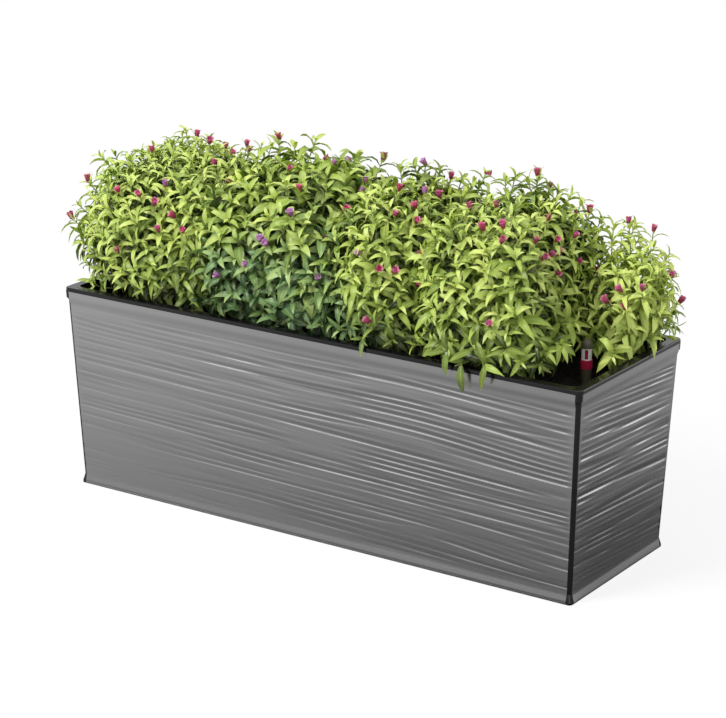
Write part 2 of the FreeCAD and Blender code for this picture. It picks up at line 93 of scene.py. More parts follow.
# Single strokes: height of a row of them, share of the width at their ends, steepness below, depth
BOLD_PITCH = 15.0
BOLD_END_WIDTH = 0.35
BOLD_STEEPNESS = 1.7
DEEPEST_STROKE = 1.2
# Where the calm low on a panel ends, and where across the panel the calm parts begin and end
LOW_HEIGHTS = (20, 85)
LOW_SIDE = (-0.6, 0.6)
CALM_SIDE = (0.1, 0.9)
# Painted shade on the skirt, as a share of the grooves' painted shade, and the painted light on the edge below it
SKIRT_PAINTED_SHADE = 0.5
FOOT_EDGE_PAINTED_LIGHT = 0.8
# Carvings: pitch, tilt in degrees and depth of the courses, length of a swell, depth of the fine courses, common
# share of the depth, share of the single strokes, calm towards one side, calm low down, painted reflection that
# lightens the skirt
CALM_CARVING = (4.7, -1.6, 0.63, 80.0, 0.07, 0.64, 0.52, 0.55, 0.2, 0.0)
STRONG_CARVING = (4.5, -3.4, 0.76, 55.0, 0.12, 0.6, 0.95, 0.0, 0.4, 1.0)
# Panels: CAD node, the rim's size along and across, columns, quarter turns, carving and seed
PANELS = (
    ("front_panel", RIM_LENGTH, RIM_WIDTH, 208, 2, CALM_CARVING, 11),
    ("back_panel", RIM_LENGTH, RIM_WIDTH, 208, 0, CALM_CARVING, 12),
    ("left_panel", RIM_WIDTH, RIM_LENGTH, 110, 1, STRONG_CARVING, 13),
    ("right_panel", RIM_WIDTH, RIM_LENGTH, 110, 3, STRONG_CARVING, 14),
)

# Pixels of the photo at which flowers show: red ones, then lilac ones
RED_FLOWERS = (
    (70, 219), (85, 180), (198, 134), (227, 145), (233, 152), (248, 143), (280, 136), (327, 160), (385, 158),
    (488, 171), (538, 173), (549, 186), (591, 210), (628, 220), (654, 228), (673, 279), (682, 305), (214, 163),
    (229, 180), (290, 169), (300, 188), (117, 192), (138, 195), (154, 204), (173, 218), (158, 232), (181, 233),
    (116, 254), (347, 212), (367, 325), (378, 272), (392, 273), (396, 214), (400, 188), (414, 206), (418, 223),
    (420, 259), (420, 288), (439, 197), (452, 176), (484, 228), (488, 327), (494, 206), (501, 241), (503, 226),
    (538, 242), (550, 220), (553, 258), (561, 257), (558, 241), (558, 275), (577, 239), (580, 264), (605, 304),
    (619, 293), (625, 311), (642, 291),
)
LILAC_FLOWERS = (
    (165, 185), (247, 266), (259, 243), (266, 247), (218, 279), (291, 216), (316, 281), (358, 255), (367, 181),
    (427, 192), (427, 162),
)
# Pixels at which a leafy shoot ends: along the outline of the plants, and thin ones that stand out
OUTLINE_SHOOTS = (
    (78, 205), (84, 222), (80, 240), (86, 262), (100, 156), (115, 154), (130, 155), (147, 152), (160, 151),
    (172, 140), (182, 134), (210, 138), (262, 144), (272, 143), (295, 146), (340, 160), (372, 172), (400, 166),
    (412, 164), (440, 168), (462, 178), (474, 180), (505, 180), (516, 175), (527, 178), (560, 190), (572, 194),
    (582, 200), (602, 218), (614, 224), (640, 238), (648, 246), (658, 258), (664, 270), (672, 292), (676, 312),
    (677, 328), (668, 338), (90, 280), (78, 232),
)
THIN_SHOOTS = ((315, 141), (356, 158), (538, 176), (634, 226), (186, 131))
# Shoots low over the rim: pixel and height of the tip in mm, and how far out in front it may stand
LOW_SHOOTS = (
    (612, 356, 193), (652, 338, 192), (455, 366, 192), (483, 366, 192), (505, 352, 205), (520, 362, 195),
    (540, 366, 192), (548, 352, 200), (468, 352, 200), (440, 352, 196), (562, 345, 205), (575, 322, 212),
    (160, 290, 190), (200, 300, 188), (232, 303, 188), (262, 312, 188), (290, 318, 188), (315, 325, 188),
    (340, 330, 188), (362, 338, 188), (392, 340, 190), (415, 345, 190), (128, 282, 192), (105, 276, 196),
)
LOW_SHOOT_FRONT = -97.0

# How each plant grows: leaf length in mm and width as a share of it, distance between tips in mm, age of its
# youngest leaves and how much older each pair below is. Age 0 is young and bright, age 1 old and dark.
HABIT = ("leaf", "broad", "spacing", "age", "aging")
# The fifth plant's young, slowly aging leaves are partly painted light that brightens that whole plant
PLANT_HABITS = (
    (21.5, 0.24, 12.0, -0.06, 0.14), (24.5, 0.32, 12.5, 0.16, 0.14), (22.5, 0.26, 11.8, 0.07, 0.15),
    (22.5, 0.25, 11.8, -0.01, 0.15), (21.5, 0.24, 16.0, -0.26, 0.02),
)
BLUE_PLANT = 1
HALF_BLUE_PLANT = 2
AIRY_PLANT = 4
UP = np.array((0.0, 0.0, 1.0))


def face_half(size, z):
    """Half the distance between two opposite leaning faces of the casing at height z."""
    return size / 2 - RIM_OVERHANG - WALL_LEAN * (1 - z / TOTAL_HEIGHT)


def ease(low, high, value):
    """A smooth rise from 0 at low to 1 at high."""
    share = np.clip((value - low) / (high - low), 0, 1)
    return share * share * (3 - 2 * share)


def unit(rows):
    """Each row as a vector of length 1."""
    return rows / np.maximum(np.linalg.norm(rows, axis=-1, keepdims=True), 1e-9)


def turn_pair(first, second, cosine, sine):
    """Two coordinates turned by the angle that has this cosine and sine."""
    return first * cosine - second * sine, first * sine + second * cosine


def between(first, second, angle):
    """The direction at an angle from the first of two square directions towards the second."""
    return cos(angle) * first + sin(angle) * second


# Mesh building


def make_mesh(name, points_mm, polygons):
    """A closed mesh with its faces outwards, from points in mm and one array of polygons for each size."""
    points = np.asarray(points_mm, float)
    volume = 0.0
    for block in polygons:
        first = points[block[:, 0]]
        for corner in range(1, block.shape[1] - 1):
            second, third = points[block[:, corner]], points[block[:, corner + 1]]
            volume += np.einsum("ij,ij->i", first, np.cross(second, third)).sum()
    if volume < 0:
        polygons = [block[:, ::-1] for block in polygons]
    corners = np.concatenate([block.ravel() for block in polygons])
    sizes = np.concatenate([np.full(len(block), block.shape[1]) for block in polygons])
    mesh = bpy.data.meshes.new(name)
    mesh.vertices.add(len(points))
    mesh.vertices.foreach_set("co", (points / 1000).astype(np.float32).ravel())
    mesh.loops.add(len(corners))
    mesh.loops.foreach_set("vertex_index", corners.astype(np.int32))
    mesh.polygons.add(len(sizes))
    mesh.polygons.foreach_set("loop_start", np.concatenate([[0], np.cumsum(sizes)[:-1]]).astype(np.int32))
    mesh.update(calc_edges=True)
    mesh.validate()
    return mesh


def add_object(name, data):
    """A new object in the scene that shows the data."""
    obj = bpy.data.objects.new(name, data)
    bpy.context.scene.collection.objects.link(obj)
    return obj


def add_piece(name, mesh, material, body, nodes=()):
    """Puts a mesh in the scene as a piece that rides on a body and stands for CAD nodes."""
    obj = add_object(name, mesh)
    mesh.materials.append(material)
    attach(obj, body)
    if nodes:
        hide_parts(*nodes)


def set_float(mesh, name, values):
    """Stores one number per vertex."""
    layer = mesh.attributes.new(name, "FLOAT", "POINT")
    layer.data.foreach_set("value", np.asarray(values, np.float32))


def read_rows(items, key, width, kind):
    """What the vertices, edges or triangles of a mesh have for a key, as rows."""
    values = np.empty(width * len(items), kind)
    items.foreach_get(key, values)
    return values.reshape(-1, width)


def sharpen(mesh, chosen):
    """Marks the edges sharp whose pairs of end vertices are chosen."""
    layer = mesh.attributes.new("sharp_edge", "BOOLEAN", "EDGE")
    layer.data.foreach_set("value", chosen(read_rows(mesh.edges, "vertices", 2, np.int32)))


def shade_smooth(mesh, count=np.inf):
    """Shades all polygons of a mesh smooth, or only the first so many."""
    mesh.polygons.foreach_set("use_smooth", np.arange(len(mesh.polygons)) < count)


def tube_rings(centres, radii, sides):
    """Rings of points round a path of centres, without twist."""
    centres = np.asarray(centres, float)
    ways = unit(np.gradient(centres, axis=0))
    across = np.cross(ways[0], UP)
    if np.linalg.norm(across) < 0.1:
        across = np.cross(ways[0], (1.0, 0.0, 0.0))
    rings = []
    angles = 2 * np.pi * np.arange(sides)[:, None] / sides
    for centre, way, radius in zip(centres, ways, radii):
        across = unit(across - way * (across @ way))
        along = np.cross(way, across)
        rings.append(centre + (np.cos(angles) * across + np.sin(angles) * along) * radius)
    return np.array(rings)


def tube_faces(levels, sides, first):
    """Quads between rings, and triangles fanned over the two end rings."""
    index = first + np.arange(levels * sides).reshape(levels, sides)
    following = np.roll(index, -1, 1)
    quads = np.stack([index[:-1], following[:-1], following[1:], index[1:]], 2).reshape(-1, 4)
    fan = np.arange(1, sides - 1)
    start = np.zeros_like(fan)
    foot, top = np.stack([start, fan + 1, fan], 1), np.stack([start, fan, fan + 1], 1)
    return quads, np.concatenate([index[0][foot], index[-1][top]])


def join_tubes(tubes, first=0):
    """Points, quads and cap triangles of many tubes, with the points numbered from first."""
    parts = []
    for rings in tubes:
        parts.append((rings.reshape(-1, 3), *tube_faces(*rings.shape[:2], first)))
        first += len(parts[-1][0])
    return [np.concatenate(part) for part in zip(*parts)]


# Leaves and petals

LEAF_STEPS = np.array([0.0, 0.13, 0.37, 0.62, 0.84, 1.0])
LEAF_POINTS = 2 + 4 * (len(LEAF_STEPS) - 2)
# Powers that shape a blade: the first moves its widest place, the second makes it pointed or round
BLADE_SHAPES = {"leaf": (0.78, 0.9), "petal": (1.5, 0.7)}


def blade_row(place, axis, outward, length, width, start, end, droop, fold, twist, thickness, tone, blue=0):
    """A leaf or petal as a row of numbers: it opens from the axis outwards by start to end degrees."""
    opening = radians(start), radians(end)
    return (*place, *axis, *outward, length, width, *opening, droop, fold, twist, thickness, tone, blue)


def blades(rows, kind):
    """Points, quads, triangles and per-vertex values of many thin closed blades."""
    rows = np.asarray(rows, float)
    count = len(rows)
    place, axis, outward = rows[:, 0:3], unit(rows[:, 3:6]), unit(rows[:, 6:9])
    length, width, start, end, droop, fold, twist, thick, tone, blue = rows[:, 9:19].T[:, :, None]
    side_flat = unit(np.cross(axis, outward))
    shift, fullness = BLADE_SHAPES[kind]
    widths = np.sin(np.pi * LEAF_STEPS ** shift) ** fullness
    points = np.empty((count, LEAF_POINTS, 3))
    along = np.empty((count, LEAF_POINTS))
    rib = np.zeros((count, LEAF_POINTS))
    points[:, 0], along[:, 0] = place, 0
    slot = 1
    for step in range(1, len(LEAF_STEPS)):
        middle = (LEAF_STEPS[step] + LEAF_STEPS[step - 1]) / 2
        angle = start + (end - start) * middle
        way = np.cos(angle) * axis + np.sin(angle) * outward
        way[:, 2:3] -= droop * middle
        way = unit(way)
        place = place + way * length * (LEAF_STEPS[step] - LEAF_STEPS[step - 1])
        if step == len(LEAF_STEPS) - 1:
            points[:, slot], along[:, slot] = place, 1
            break
        turn = twist * LEAF_STEPS[step]
        face = np.cross(way, side_flat)
        side = np.cos(turn) * side_flat + np.sin(turn) * face
        face = np.cross(way, side)
        half = width * widths[step] / 2
        edge = face * fold * half
        out, up = side * half, face * thick / 2
        points[:, slot:slot + 4] = np.stack([place - out + edge, place + up, place + out + edge, place - up], 1)
        along[:, slot:slot + 4] = LEAF_STEPS[step]
        rib[:, slot + 1] = 1
        slot += 4
    last = LEAF_POINTS - 1
    sides = ((0, 1), (1, 2), (2, 3), (3, 0))
    quads = [(low + a, low + b, low + 4 + b, low + 4 + a) for low in range(1, last - 4, 4) for a, b in sides]
    triangles = [face for a, b in sides for face in ((0, 1 + b, 1 + a), (last, last - 4 + a, last - 4 + b))]
    offsets = (np.arange(count) * LEAF_POINTS)[:, None, None]
    quads = (np.array(quads)[None] + offsets).reshape(-1, 4)
    triangles = (np.array(triangles)[None] + offsets).reshape(-1, 3)
    tone, blue = np.repeat(tone, LEAF_POINTS), np.repeat(blue, LEAF_POINTS)
    values = {"along": along.ravel(), "rib": rib.ravel(), "tone": tone, "blue": blue}
    return points.reshape(-1, 3), quads, triangles, values


def crease_margins(mesh, blade_vertices):
    """Marks the margins of every blade sharp, so that each side of it shades smoothly."""
    kind = np.full(len(mesh.vertices), -1)
    pattern = [4, *[0, 1, 2, 3] * (len(LEAF_STEPS) - 2), 4]
    kind[:blade_vertices] = np.tile(pattern, blade_vertices // LEAF_POINTS)
    sharpen(mesh, lambda ends: np.isin(kind[ends], (0, 2, 4)).all(1) & ~(kind[ends] == 4).all(1))


# The photo's camera

BACK = Vector((
    sin(CAMERA_AZIMUTH) * cos(CAMERA_ELEVATION),
    -cos(CAMERA_AZIMUTH) * cos(CAMERA_ELEVATION),
    sin(CAMERA_ELEVATION),
))
LEVEL = Vector((cos(CAMERA_AZIMUTH), sin(CAMERA_AZIMUTH), 0))
STEEP = BACK.cross(LEVEL)
RIGHT = LEVEL * cos(CAMERA_ROLL) + STEEP * sin(CAMERA_ROLL)
UPWARD = STEEP * cos(CAMERA_ROLL) - LEVEL * sin(CAMERA_ROLL)


def pixel_ray(pixel):
    """Unit direction from the camera through a pixel of the photo."""
    x, y = (pixel[0] - IMAGE_CENTRE[0]) / FOCAL_PIXELS, (IMAGE_CENTRE[1] - pixel[1]) / FOCAL_PIXELS
    return (RIGHT * x + UPWARD * y - BACK).normalized()


def make_camera():
    data = bpy.data.cameras.new("photo_camera")
    data.sensor_width = SENSOR_WIDTH
    data.lens = FOCAL_PIXELS / IMAGE_WIDTH * SENSOR_WIDTH
    data.clip_start, data.clip_end = 0.05, 50
    camera = add_object("photo_camera", data)
    turn = Matrix((RIGHT, UPWARD, BACK)).transposed().to_4x4()
    camera.matrix_world = Matrix.Translation(Vector(CAMERA_PLACE) / 1000) @ turn
    bpy.context.scene.camera = camera


# Materials

# Colours, alone or as the stops of a ramp: (place, colour)
WHITE = (1, 1, 1)
LACQUER = ((0.3, (0.31, 0.305, 0.305)), (0.55, (0.33, 0.325, 0.325)), (0.75, (0.35, 0.344, 0.344)))
# Painted shade for the panels' grooves and skirts, and a painted reflection of the floor that lightens skirts and
# bottom edges
LACQUER_PAINTED_SHADE = (0.05, 0.049, 0.05)
LACQUER_PAINTED_REFLECTION = (0.75, 0.745, 0.75)
YOUNG_LEAF = (0.72, 0.82, 0.22)
YELLOW_GREEN = ((0.0, YOUNG_LEAF), (0.42, (0.39, 0.53, 0.08)), (0.95, (0.04, 0.062, 0.01)))
BLUE_GREEN = ((0.0, (0.5, 0.66, 0.26)), (0.42, (0.2, 0.36, 0.13)), (0.95, (0.03, 0.085, 0.03)))
LEAF_RIB = (0.85, 0.92, 0.5)
RED_PETAL = ((0.0, (0.26, 0.02, 0.06)), (0.5, (0.58, 0.06, 0.16)), (1.0, (0.78, 0.22, 0.36)))
LILAC_PETAL = ((0.0, (0.3, 0.1, 0.28)), (0.5, (0.5, 0.2, 0.45)), (1.0, (0.68, 0.42, 0.64)))
BARK = ((0.3, (0.09, 0.055, 0.03)), (0.7, (0.24, 0.16, 0.085)))
GREEN_STEM = ((0.3, (0.16, 0.2, 0.05)), (0.7, (0.3, 0.36, 0.1)))
FLOOR_SEEN = (0.9,) * 3
FLOOR_LIT = (0.25,) * 3


class Shader:
    """The node tree of a material or a world, with short ways to add and join nodes."""

    def __init__(self, owner):
        owner.use_nodes = True
        self.owner = owner
        self.nodes = owner.node_tree.nodes
        of_world = isinstance(owner, bpy.types.World)
        self.main = self.nodes["Background" if of_world else "Principled BSDF"]
        self.output = self.nodes["World Output" if of_world else "Material Output"]

    def add(self, kind, inputs=None, **settings):
        node = self.nodes.new("ShaderNode" + kind)
        for name, value in settings.items():
            setattr(node, name, value)
        for name, value in (inputs or {}).items():
            self.put(node, name, value)
        return node

    def put(self, node, name, value):
        """Sets a socket to a constant, or joins another node's output to it."""
        socket = node.inputs[name]
        if isinstance(value, bpy.types.NodeSocket):
            self.owner.node_tree.links.new(value, socket)
        elif socket.type == "RGBA":
            socket.default_value = (*value, 1)
        else:
            socket.default_value = value

    def noise(self, scale, stretch=(1, 1, 1), detail=3.0, roughness=0.5):
        """Noise of about so many patches to a metre, drawn out along the axes where stretch is small."""
        place = self.add("TexCoord").outputs["Object"]
        mapped = self.add("Mapping", {"Vector": place, "Scale": stretch}).outputs["Vector"]
        node = self.add("TexNoise", {"Vector": mapped, "Scale": scale, "Detail": detail, "Roughness": roughness})
        return node.outputs["Fac"]

    def ramp(self, value, stops):
        node = self.add("ValToRGB", {"Fac": value})
        elements = node.color_ramp.elements
        while len(elements) < len(stops):
            elements.new(0.5)
        for element, (place, colour) in zip(elements, stops):
            element.position = place
            element.color = (*colour, 1)
        return node.outputs["Color"]

    def spread(self, value, low, high, start=0.0, end=1.0):
        """The value carried from the range start..end to low..high."""
        inputs = {"Value": value, "From Min": start, "From Max": end, "To Min": low, "To Max": high}
        return self.add("MapRange", inputs).outputs["Result"]

    def math(self, operation, first, second):
        return self.add("Math", {0: first, 1: second}, operation=operation).outputs[0]

    def mix(self, share, first, second):
        """A colour that is the first at share 0 and the second at share 1."""
        return self.add("Mix", {0: share, 6: first, 7: second}, data_type="RGBA").outputs[2]

    def bump(self, height, strength, distance):
        inputs = {"Height": height, "Strength": strength, "Distance": distance}
        return self.add("Bump", inputs).outputs["Normal"]

    def attribute(self, name):
        return self.add("Attribute", attribute_name=name, attribute_type="GEOMETRY").outputs["Fac"]

    def shown(self, path):
        """1 for rays that come from the camera, a glossy surface or through something."""
        share = path.outputs["Is Camera Ray"]
        for kind in ("Is Glossy Ray", "Is Transmission Ray"):
            share = self.math("MAXIMUM", share, path.outputs[kind])
        return share

    def cover(self, share, first, second):
        """Makes the surface a mix of two shader nodes."""
        both = self.add("MixShader", {0: share, 1: first.outputs[0], 2: second.outputs[0]})
        self.put(self.output, "Surface", both.outputs[0])

    def let_through(self, share, colour):
        """Lets a share of the light pass through the main surface in a colour."""
        self.cover(share, self.main, self.add("BsdfTranslucent", {"Color": colour}))

    def finish(self, **sockets):
        """Sets sockets of the main node, named with _ for spaces, and gives back the material."""
        for name, value in sockets.items():
            self.put(self.main, name.replace("_", " "), value)
        return self.owner


def new_shader(name):
    return Shader(bpy.data.materials.new(name))


def plastic(name, dark, light, rough, bump=0.15, specular=0.5):
    """Plastic with slightly cloudy colour, varying gloss and a fine moulded grain."""
    shader = new_shader(name)
    cloud = shader.noise(14.0, detail=4.0)
    grain = shader.noise(900.0, detail=2.0)
    return shader.finish(
        Base_Color=shader.ramp(cloud, ((0.3, dark), (0.7, light))),
        Roughness=shader.spread(shader.noise(55.0), *rough, 0.3, 0.7),
        Specular_IOR_Level=specular,
        Normal=shader.bump(grain, bump, 0.0002),
    )


def panel_material():
    """Silver-grey metallic lacquer brushed along the panel, with painted shade in the grooves and a painted
    reflection that lightens the skirt and foot.
    """
    shader = new_shader("brushed_lacquer")
    brushed = shader.noise(40.0, (0.08, 0.08, 8.0))
    cloud = shader.noise(7.0, (0.6, 0.6, 2.5))
    # Painted shade darkens the lacquer with the carved depth, and the foot value paints a lighter reflection on
    # the skirt and bottom edge
    painted_groove_shade = shader.spread(shader.attribute("painted_groove_shade"), 0.0, 0.8, 0.1, 1.0)
    carved = shader.mix(painted_groove_shade, shader.ramp(shader.mix(0.35, brushed, cloud), LACQUER), LACQUER_PAINTED_SHADE)
    return shader.finish(
        Base_Color=shader.mix(shader.attribute("foot"), carved, LACQUER_PAINTED_REFLECTION),
        Metallic=0.94,
        Roughness=shader.spread(brushed, 0.18, 0.23, 0.35, 0.65),
    )


def soil_material(name, dark, light, warm):
    """Dark loose earth with lighter fibres."""
    shader = new_shader(name)
    crumbs = shader.noise(420.0, detail=5.0, roughness=0.7)
    fibres = shader.noise(160.0, (1.0, 3.5, 1.0), detail=4.0)
    ground = shader.ramp(crumbs, ((0.35, dark), (0.7, light)))
    return shader.finish(
        Base_Color=shader.mix(shader.spread(fibres, 0.0, 0.8, 0.6, 0.75), ground, warm),
        Roughness=0.9,
        Normal=shader.bump(crumbs, 0.9, 0.002),
    )


def leaf_material():
    """Thin glossy leaves: bright when young and dark when old, darker still where shade is painted on low and
    inner leaves, yellow-green to blue-green, with a paler rib.
    """
    shader = new_shader("leaves")
    patches = shader.spread(shader.noise(90.0), -0.12, 0.12, 0.3, 0.7)
    # The tone holds each leaf's age together with its painted shade
    age = shader.math("ADD", shader.attribute("tone"), patches)
    blade = shader.mix(shader.attribute("blue"), shader.ramp(age, YELLOW_GREEN), shader.ramp(age, BLUE_GREEN))
    rib = shader.spread(shader.attribute("rib"), 0.0, 0.55, 0.72, 1.0)
    pale = shader.mix(rib, blade, shader.mix(0.5, blade, LEAF_RIB))
    tipped = shader.mix(shader.spread(shader.attribute("along"), 0.0, 0.2, 0.6, 1.0), pale, YOUNG_LEAF)
    shader.let_through(0.3, shader.mix(0.15, tipped, YOUNG_LEAF))
    return shader.finish(
        Base_Color=tipped,
        Roughness=shader.spread(shader.noise(200.0), 0.28, 0.44, 0.3, 0.7),
        Specular_IOR_Level=0.4,
        Normal=shader.bump(shader.noise(700.0, detail=2.0), 0.25, 0.0003),
    )


def petal_material():
    """Soft petals and tubes: crimson to pink, or lilac where the hue value says so, paler at the mouth."""
    shader = new_shader("petals")
    mottled = shader.spread(shader.noise(300.0), -0.15, 0.15, 0.3, 0.7)
    place = shader.math("ADD", shader.attribute("along"), mottled)
    colour = shader.mix(shader.attribute("hue"), shader.ramp(place, RED_PETAL), shader.ramp(place, LILAC_PETAL))
    shader.let_through(0.25, colour)
    return shader.finish(Base_Color=colour, Roughness=0.55, Normal=shader.bump(shader.noise(900.0), 0.2, 0.0002))


def stem_material():
    """Thin woody stems, brown below and green towards the tips."""
    shader = new_shader("stems")
    bark = shader.noise(260.0, (1, 1, 0.25), detail=4.0)
    green = shader.spread(shader.attribute("along"), 0.0, 1.0, 0.45, 0.85)
    return shader.finish(
        Base_Color=shader.mix(green, shader.ramp(bark, BARK), shader.ramp(bark, GREEN_STEM)),
        Roughness=0.6,
        Normal=shader.bump(bark, 0.4, 0.0005),
    )


# Panels


def wander(rng, across, height, reach, rise):
    """Smooth random values from -1 to 1 whose waves are about reach long and rise high."""
    column = (across - across.min()) / reach
    row = (height - height.min()) / rise
    knots = rng.uniform(-1, 1, (int(row.max()) + 2, int(column.max()) + 2))
    left, low = column.astype(int), row.astype(int)
    over, above = ease(0, 1, column - left), ease(0, 1, row - low)
    lower, upper = (knots[at, left] * (1 - over) + knots[at, left + 1] * over for at in (low, low + 1))
    return lower * (1 - above) + upper * above


def courses(rng, across, height, pitch, tilt, swell, common):
    """Share of full depth in long courses of scoops that meet in crests and swell along their way."""
    line = height + tan(radians(tilt)) * across
    line = line + COURSE_WAVE * wander(rng, across, height, reach=150, rise=30)
    number = np.floor(line / pitch)
    share = (line / pitch - number) ** (log(0.5) / log(DEEPEST_SHARE))
    strength = np.clip(common + 0.8 * wander(rng, across, number, reach=swell, rise=1), 0.06, 1)
    return (1 - (2 * share - 1) ** 2) * strength


def bold_strokes(rng, across, height, half_length, tilt):
    """Depth of single lens-shaped strokes that cut deeper than the courses."""
    depth = np.zeros_like(across)
    for course in range(int((FIELD_TOP - FIELD_BOTTOM) / BOLD_PITCH)):
        start = -half_length - rng.uniform(0, 60)
        while start < half_length:
            reach = rng.uniform(40, 95)
            centre = start + reach
            start = centre + reach * rng.uniform(0.7, 1.4)
            slope = tan(radians(-tilt + rng.normal(0, 1.6)))
            bend = rng.normal(0, 0.0002)
            half_width = rng.uniform(2.4, 4.6)
            level = FIELD_BOTTOM + (course + rng.uniform(0.1, 0.9)) * BOLD_PITCH
            near = np.abs(across - centre) < reach
            shift = across[near] - centre
            lens = 1 - (shift / reach) ** 2
            half_widths = half_width * (BOLD_END_WIDTH + (1 - BOLD_END_WIDTH) * lens)
            share = (height[near] - level - slope * shift - bend * shift ** 2) / half_widths
            share = np.where(share < 0, share * BOLD_STEEPNESS, share)
            deep = rng.uniform(0.5, 1.0) * DEEPEST_STROKE
            depth[near] = np.maximum(depth[near], np.clip(1 - share ** 2, 0, 1) * lens * deep)
    return depth


def stroke_depths(across, height, half_length, carving, seed):
    """Depth in mm of the chiselled surface at points of one panel."""
    rng = np.random.default_rng(seed)
    pitch, tilt, most, swell, fine, common, bold, calm, low_calm, _ = carving
    depth = courses(rng, across, height, pitch, tilt, swell, common) * most
    depth += courses(rng, across, height, FINE_PITCH, tilt / 2, swell / 2, common=0.5) * fine
    depth = np.maximum(depth, bold_strokes(rng, across, height, half_length, tilt) * bold)
    low_calm = low_calm + 0.3 * calm * ease(*LOW_SIDE, across / half_length)
    wavering = height + 12 * wander(rng, across, height, reach=90, rise=60)
    depth *= 1 - low_calm * (1 - ease(*LOW_HEIGHTS, wavering))
    depth *= 1 - calm * ease(*CALM_SIDE, across / half_length)
    depth *= ease(SIDE_MARGIN, SIDE_MARGIN + SIDE_FADE, half_length - np.abs(across))
    depth *= ease(FIELD_BOTTOM - FIELD_FADE / 2, FIELD_BOTTOM, height)
    depth *= 1 - TOP_CALM * ease(FIELD_TOP - FIELD_FADE, FIELD_TOP, height)
    depth *= 1 - ease(LIP_START - LIP_MARGIN, LIP_START, height)
    for lines in (depth, depth.T) * 2:
        lines[1:-1] = (lines[:-2] + 2 * lines[1:-1] + lines[2:]) / 4
    return depth


def panel_mesh(name, along, across, columns, quarter_turns, carving, seed):
    """A decor panel: carved front with skirt and lip, flat back, turned to its side of the planter."""
    zones = (
        (PANEL_FOOT, SKIRT_TOP, 3), (SKIRT_TOP, SKIRT_END, 5), (SKIRT_END, LIP_START, FIELD_ROWS),
        (LIP_START, LIP_BOTTOM, 6), (LIP_BOTTOM, PANEL_TOP, 4),
    )
    heights = np.unique(np.concatenate([np.linspace(*zone) for zone in zones]))
    half = face_half(along, heights) - CORNER_RADIUS
    grid_across = np.linspace(-1, 1, columns)[None] * half[:, None]
    grid_height = np.repeat(heights[:, None], columns, 1)
    proud = SKIRT_PROUD * (1 - np.clip((heights - SKIRT_TOP) / SKIRT_BLEND, 0, 1))
    proud = proud + LIP_PROUD * ease(LIP_START, LIP_BOTTOM, heights)
    face = face_half(across, heights)
    wave = stroke_depths(grid_across, grid_height, half.mean(), carving, seed)
    front = np.stack([grid_across, (face + proud)[:, None] - wave, grid_height], 2)
    back = np.stack([grid_across, np.repeat((face - PANEL_THICKNESS)[:, None], columns, 1), grid_height], 2)
    rows = len(heights)
    index = np.arange(rows * columns).reshape(rows, columns)
    border = np.concatenate([index[0, :], index[1:, -1], index[-1, -2::-1], index[-2:0:-1, 0]])
    points = np.concatenate([front.reshape(-1, 3), back.reshape(-1, 3)[border]])
    quads = np.stack([index[:-1, :-1], index[:-1, 1:], index[1:, 1:], index[1:, :-1]], 2).reshape(-1, 4)
    rim = rows * columns + np.arange(len(border))
    rim_quads = np.stack([np.roll(border, -1), border, rim, np.roll(rim, -1)], 1)
    angle = quarter_turns * np.pi / 2
    turned = turn_pair(points[:, 0], points[:, 1], round(cos(angle)), round(sin(angle)))
    mesh = make_mesh(name, np.stack([*turned, points[:, 2]], 1), [quads, rim_quads, rim[None, ::-1]])
    # Painted shade follows the carved depth and covers part of the skirt; the foot value paints light, a painted
    # reflection, on the skirt and bottom edge
    painted_groove_shade, foot = wave / DEEPEST_STROKE, np.zeros_like(wave)
    in_skirt = heights < SKIRT_END - 0.5
    painted_groove_shade[in_skirt] = SKIRT_PAINTED_SHADE
    foot[in_skirt] = carving[-1]
    foot[heights < SKIRT_TOP] = FOOT_EDGE_PAINTED_LIGHT
    for key, values in (("painted_groove_shade", painted_groove_shade), ("foot", foot)):
        set_float(mesh, key, np.concatenate([values.ravel(), np.zeros(len(border))]))
    on_border = np.ones(len(points), bool)
    on_border[index[1:-1, 1:-1]] = False
    sharpen(mesh, lambda ends: on_border[ends].all(1))
    shade_smooth(mesh, len(quads))
    return mesh


def make_panels(material):
    for node, *shape in PANELS:
        mesh = panel_mesh("carved_" + node, *shape)
        add_piece("carved_" + node, mesh, material, "casing", (node,))


# Soil crumbs

CRUMBS = 5200
# Crumbs keep off the gauge's middle and out of the bed's corners, in mm
CRUMB_GAUGE_GAP = 9
CRUMB_CORNER = 12
CUBE = np.array(list(product((-1, 1), repeat=3)), float)
CUBE_FACES = np.array([(0, 1, 3, 2), (4, 6, 7, 5), (0, 4, 5, 1), (2, 3, 7, 6), (0, 2, 6, 4), (1, 5, 7, 3)])


